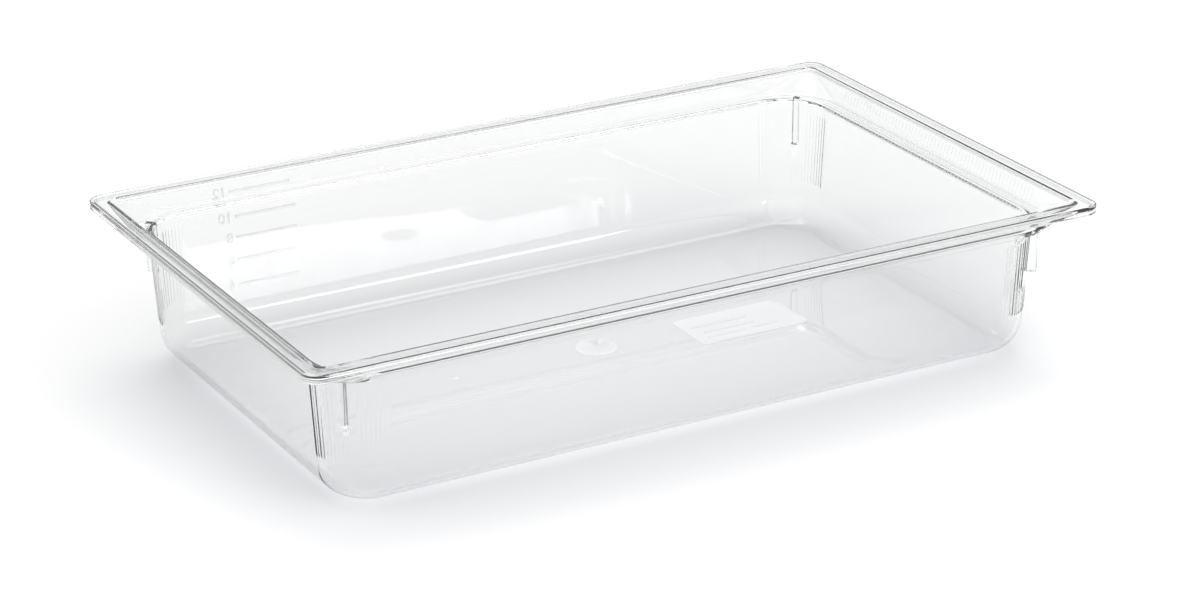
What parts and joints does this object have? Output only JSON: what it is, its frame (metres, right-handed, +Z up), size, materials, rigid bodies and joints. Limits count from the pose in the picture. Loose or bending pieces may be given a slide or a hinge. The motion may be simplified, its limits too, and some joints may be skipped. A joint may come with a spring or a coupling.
{
  "type": "food pan",
  "caption": "Clear plastic full-size gastronorm food pan, 100 mm deep, with a turned-down rim, a stacking shoulder and a corner lug outside each rounded corner.",
  "frame": {"origin": "centre of the pan's underside, at the level it stands on", "axes": "+X along the long sides, +Y along the short ends, +Z up out of the open top"},
  "size_m": [0.53, 0.325, 0.1],
  "materials": {
    "clear_rim": "clear polycarbonate, polished rim",
    "clear_body": "clear polycarbonate, polished walls with fine moulded ribs in the corners",
    "clear_base": "clear polycarbonate floor with a frosted plain panel"
  },
  "bodies": {
    "root": {"rim_flange": "clear_rim", "shoulder": "clear_rim", "base_curve": "clear_body", "floor_panel": "clear_base", "corner_back_right": "clear_body", "corner_back_left": "clear_body", "corner_front_left": "clear_body", "corner_front_right": "clear_body", "back_wall": "clear_body", "left_wall": "clear_body", "front_wall": "clear_body", "right_wall": "clear_body", "stacking_lug_back_right": "clear_body", "stacking_lug_back_left": "clear_body", "stacking_lug_front_left": "clear_body", "stacking_lug_front_right": "clear_body"}
  },
  "joints": []
}
